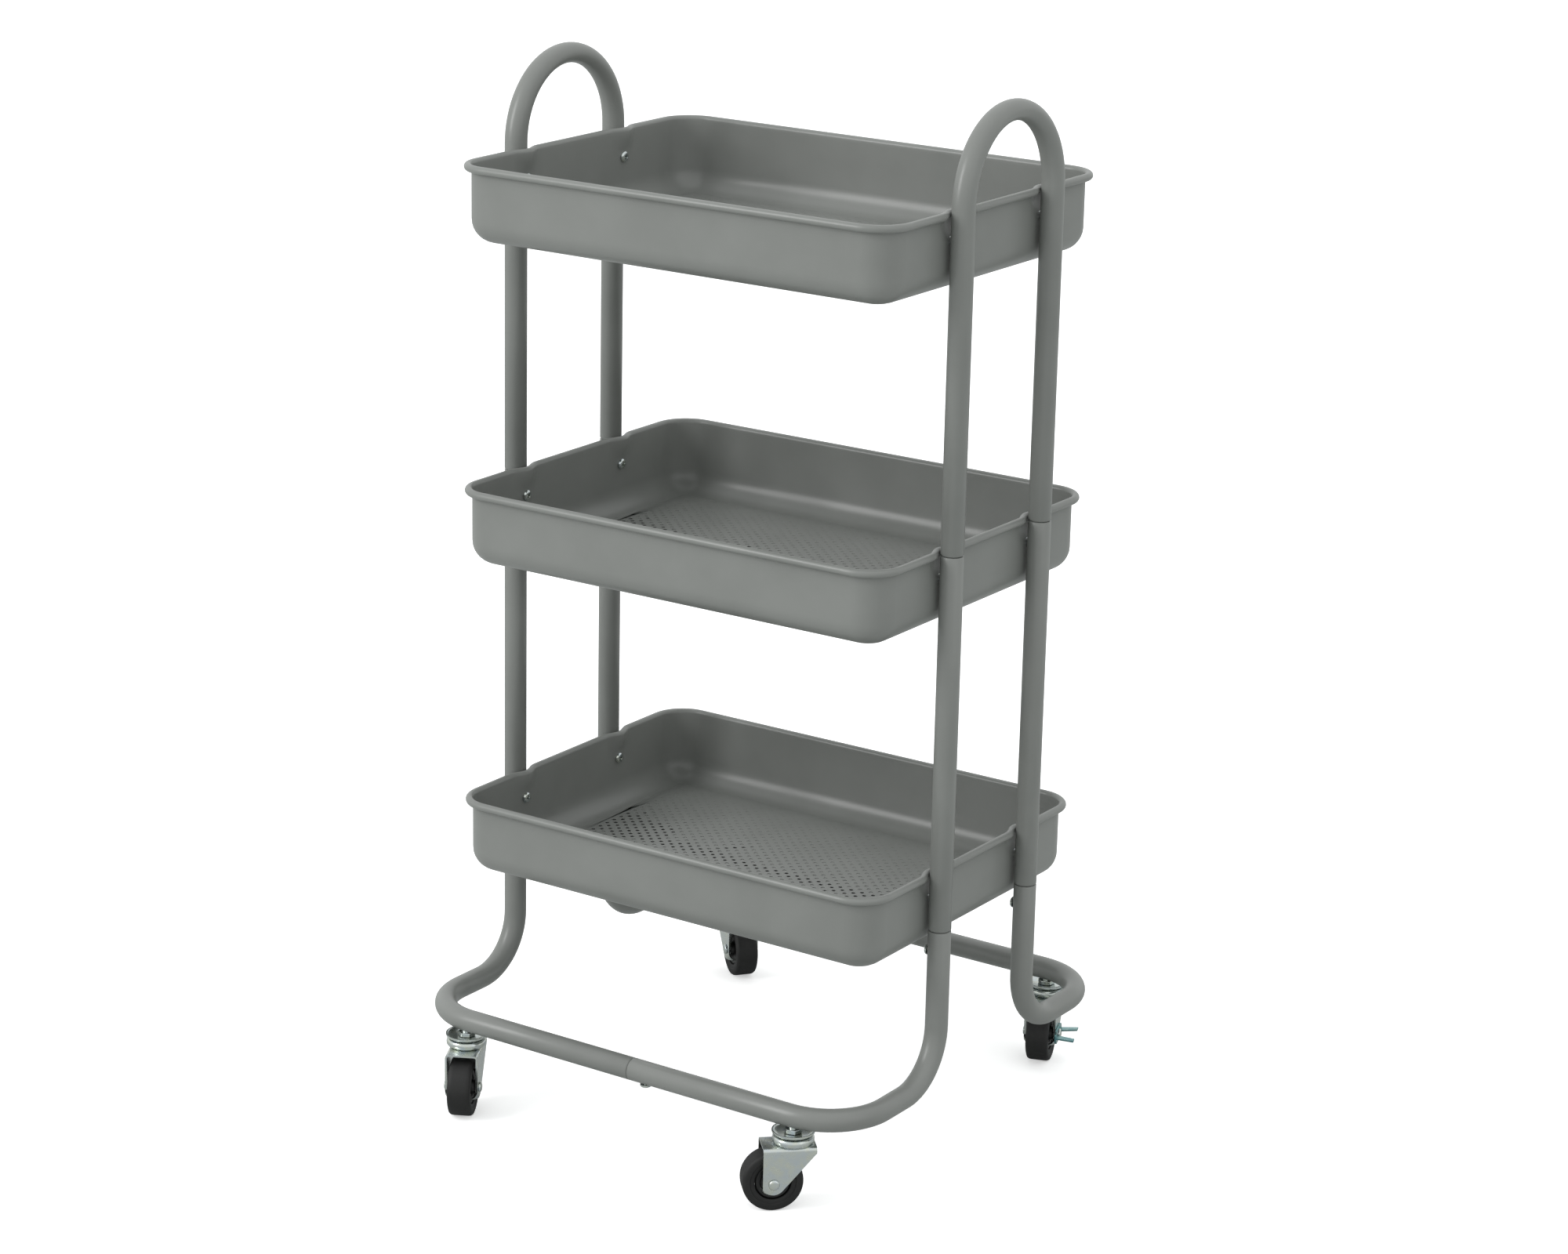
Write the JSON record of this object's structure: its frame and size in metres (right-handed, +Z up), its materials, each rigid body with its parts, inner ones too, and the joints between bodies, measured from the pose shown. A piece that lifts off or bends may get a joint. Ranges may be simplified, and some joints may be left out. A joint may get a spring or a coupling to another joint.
{
  "type": "rolling utility cart",
  "caption": "Narrow steel utility cart with stacked perforated trays hung between two arched tube end frames on small swivel casters.",
  "frame": {"origin": "on the floor, under the centre of the tube frame and of the trays", "axes": "+Z up; X along the trays' long sides, +X to the right; -Y is the front"},
  "size_m": [0.454, 0.4605, 0.8785],
  "materials": {
    "powder_coat": "satin warm grey powder coat",
    "zinc": "bright zinc plate",
    "rubber": "matte black",
    "plastic": "matte black"
  },
  "bodies": {
    "cart": {"top_tray": "powder_coat", "middle_tray": "powder_coat", "bottom_tray": "powder_coat", "handle_arch_left": "powder_coat", "handle_arch_right": "powder_coat", "upright_fl": "powder_coat", "upright_fr": "powder_coat", "upright_bl": "powder_coat", "upright_br": "powder_coat", "base_tube_fl": "powder_coat", "base_tube_fr": "powder_coat", "base_tube_bl": "powder_coat", "base_tube_br": "powder_coat", "top_tray_screw_fl": "zinc", "top_tray_screw_fr": "zinc", "top_tray_screw_bl": "zinc", "top_tray_screw_br": "zinc", "middle_tray_screw_fl": "zinc", "middle_tray_screw_fr": "zinc", "middle_tray_screw_bl": "zinc", "middle_tray_screw_br": "zinc", "bottom_tray_screw_fl": "zinc", "bottom_tray_screw_fr": "zinc", "bottom_tray_screw_bl": "zinc", "bottom_tray_screw_br": "zinc", "leg_joint_screw_fl": "zinc", "leg_joint_screw_fr": "zinc", "leg_joint_screw_bl": "zinc", "leg_joint_screw_br": "zinc", "front_rail_screw": "zinc", "back_rail_screw": "zinc", "caster_fl_stem": "zinc", "caster_fl_cup": "zinc", "caster_fr_stem": "zinc", "caster_fr_cup": "zinc", "caster_bl_stem": "zinc", "caster_bl_cup": "zinc", "caster_br_stem": "zinc", "caster_br_cup": "zinc"},
    "swivel_fl": {"caster_fl_fork": "zinc", "caster_fl_axle": "zinc"},
    "wheel_fl": {"caster_fl_tyre": "rubber", "caster_fl_hub": "plastic"},
    "swivel_fr": {"caster_fr_fork": "zinc", "caster_fr_axle": "zinc"},
    "wheel_fr": {"caster_fr_tyre": "rubber", "caster_fr_hub": "plastic"},
    "swivel_bl": {"caster_bl_fork": "zinc", "caster_bl_axle": "zinc"},
    "wheel_bl": {"caster_bl_tyre": "rubber", "caster_bl_hub": "plastic"},
    "swivel_br": {"caster_br_fork": "zinc", "caster_br_axle": "zinc"},
    "wheel_br": {"caster_br_tyre": "rubber", "caster_br_hub": "plastic"},
    "brake_br": {"caster_br_brake_lever": "zinc"}
  },
  "joints": [
    {"name": "swivel_fl", "type": "hinge", "parent": "cart", "child": "swivel_fl", "pos_m": [-0.167, -0.1995, 0.056], "axis": [0, 0, 1], "continuous": true},
    {"name": "roll_fl", "type": "hinge", "parent": "swivel_fl", "child": "wheel_fl", "pos_m": [-0.15902, -0.21451, 0.025], "axis": [0.8829, 0.4695, 0], "continuous": true},
    {"name": "swivel_fr", "type": "hinge", "parent": "cart", "child": "swivel_fr", "pos_m": [0.167, -0.1995, 0.056], "axis": [0, 0, 1], "continuous": true},
    {"name": "roll_fr", "type": "hinge", "parent": "swivel_fr", "child": "wheel_fr", "pos_m": [0.15457, -0.21109, 0.025], "axis": [0.682, -0.7314, 0], "continuous": true},
    {"name": "swivel_bl", "type": "hinge", "parent": "cart", "child": "swivel_bl", "pos_m": [-0.167, 0.1995, 0.056], "axis": [0, 0, 1], "continuous": true},
    {"name": "roll_bl", "type": "hinge", "parent": "swivel_bl", "child": "wheel_bl", "pos_m": [-0.1536, 0.18903, 0.025], "axis": [0.6157, 0.788, 0], "continuous": true},
    {"name": "swivel_br", "type": "hinge", "parent": "cart", "child": "swivel_br", "pos_m": [0.167, 0.1995, 0.056], "axis": [0, 0, 1], "continuous": true},
    {"name": "roll_br", "type": "hinge", "parent": "swivel_br", "child": "wheel_br", "pos_m": [0.17281, 0.18352, 0.025], "axis": [0.9397, 0.342, 0], "continuous": true},
    {"name": "brake_br", "type": "hinge", "parent": "swivel_br", "child": "brake_br", "pos_m": [0.17281, 0.18352, 0.025], "axis": [0.9397, 0.342, 0], "range_deg": [0, 20]}
  ]
}
